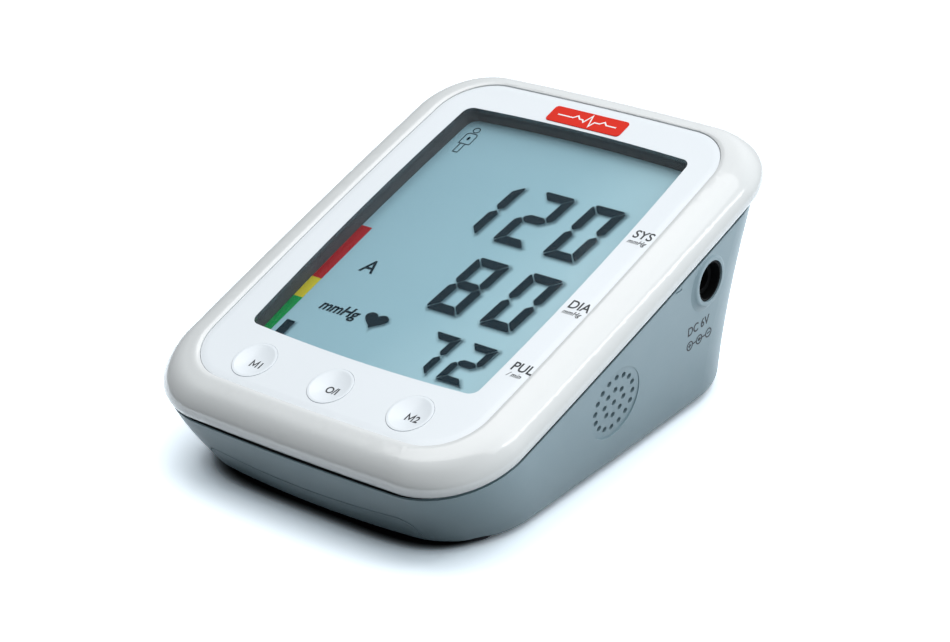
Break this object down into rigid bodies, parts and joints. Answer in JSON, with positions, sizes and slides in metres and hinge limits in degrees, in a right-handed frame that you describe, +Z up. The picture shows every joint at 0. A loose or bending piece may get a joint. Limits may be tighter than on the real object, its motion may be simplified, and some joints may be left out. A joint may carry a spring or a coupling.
{
  "type": "blood pressure monitor",
  "caption": "Desktop wedge-shaped blood pressure monitor with a large sloping display, push buttons, a side speaker grille and sockets for the power plug and the cuff hose.",
  "frame": {"origin": "on the surface the feet stand on, under the middle of the whole object's box", "axes": "+Z up, -Y towards the user (the low front edge with the buttons), +X to the user's right (the side with the speaker grille and the power socket)"},
  "size_m": [0.113, 0.1344, 0.0621],
  "materials": {
    "housing_blue_grey": "satin moulded",
    "shell_white": "glossy",
    "panel_white": "glossy",
    "lens_clear": "polished clear",
    "frame_dark": "matt",
    "display": "light blue display cell",
    "contact_rubber": "matt",
    "button_white": "glossy",
    "badge_red": "glossy",
    "board_green": "solder resist",
    "chip_black": "matt",
    "switch_black": "matt",
    "screw_steel": "zinc plated",
    "motor_can": "nickel plated",
    "pump_plastic": "matt",
    "valve_body": "matt",
    "tube_silicone": "translucent silicone",
    "socket_plastic": "satin",
    "jack_plastic": "satin",
    "speaker_metal": "plated",
    "cell_jacket": "satin jacket",
    "contact_steel": "nickel plated",
    "foot_rubber": "matt"
  },
  "bodies": {
    "case": {"lower_housing": "housing_blue_grey", "top_shell": "shell_white", "front_panel": "panel_white", "display_window": "lens_clear", "badge": "badge_red", "lcd_frame": "frame_dark", "lcd_glass": "display", "lcd_connector": "contact_rubber", "button_switches": "switch_black", "main_board": "board_green", "board_parts": "chip_black", "board_screws": "screw_steel", "pressure_sensor": "chip_black", "pump_motor": "motor_can", "pump_head": "pump_plastic", "release_valve": "valve_body", "air_socket": "socket_plastic", "air_manifold": "pump_plastic", "air_tubes": "tube_silicone", "dc_jack": "jack_plastic", "speaker": "speaker_metal", "cell_1": "cell_jacket", "cell_2": "cell_jacket", "cell_3": "cell_jacket", "cell_4": "cell_jacket", "battery_springs": "contact_steel", "battery_plates": "contact_steel", "rubber_feet": "foot_rubber", "case_screws": "screw_steel"},
    "m1_key": {"button_m1": "button_white"},
    "power_key": {"button_power": "button_white"},
    "m2_key": {"button_m2": "button_white"},
    "cover": {"battery_cover": "housing_blue_grey"}
  },
  "joints": [
    {"name": "button_m1_press", "type": "slide", "parent": "case", "child": "m1_key", "axis": [0, 0.2756, -0.9613], "range_m": [0, 0.0006], "stiffness_N_per_m": 1500},
    {"name": "button_power_press", "type": "slide", "parent": "case", "child": "power_key", "axis": [0, 0.2756, -0.9613], "range_m": [0, 0.0006], "stiffness_N_per_m": 1500},
    {"name": "button_m2_press", "type": "slide", "parent": "case", "child": "m2_key", "axis": [0, 0.2756, -0.9613], "range_m": [0, 0.0006], "stiffness_N_per_m": 1500},
    {"name": "battery_cover_slide", "type": "slide", "parent": "case", "child": "cover", "axis": [0, -1, 0], "range_m": [0, 0.055]}
  ]
}
